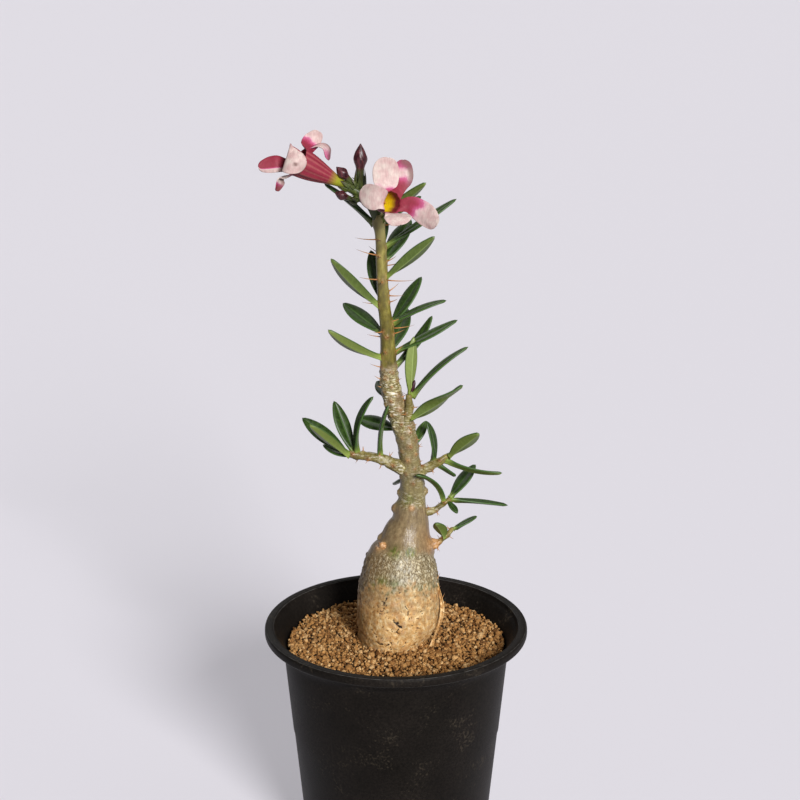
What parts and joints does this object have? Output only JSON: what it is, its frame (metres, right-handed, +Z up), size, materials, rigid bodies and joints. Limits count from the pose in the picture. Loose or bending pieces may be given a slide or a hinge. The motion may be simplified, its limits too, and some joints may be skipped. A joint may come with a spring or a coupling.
{
  "type": "potted pachypodium",
  "caption": "Pachypodium with a swollen caudex, thorny leafy stem, short side branches, pink and white flowers and dark buds, growing in clay grit in a round black plastic pot.",
  "frame": {"origin": "centre of the circle that the pot's foot stands on", "axes": "+Z up along the pot's axis; -Y towards the viewer of the picture; +X to that viewer's right"},
  "size_m": [0.105, 0.105, 0.2978],
  "materials": {
    "black_plastic": "matt black moulded polypropylene, faintly dusty",
    "clay_grit": "dry fired clay and pumice grains of about 1.5 mm, rough",
    "bark": "corky grey-tan bark with peeling skin, olive green on young growth",
    "leaf": "dark green satin leaf, paler beneath",
    "stalk": "olive green satin stalk and sepals",
    "petal": "thin soft petal, pale pink to crimson",
    "bud": "dark maroon satin bud"
  },
  "bodies": {
    "root": {"pot": "black_plastic", "soil": "clay_grit", "caudex_and_stem": "bark", "branch_left": "leaf", "branch_right_upper": "leaf", "branch_right_middle": "leaf", "branch_right_lower": "leaf", "flower_stalk": "stalk", "flower_left": "petal", "flower_right": "petal", "bud_tall": "bud", "bud_upper_left": "bud", "bud_lower_left": "bud"}
  },
  "joints": []
}
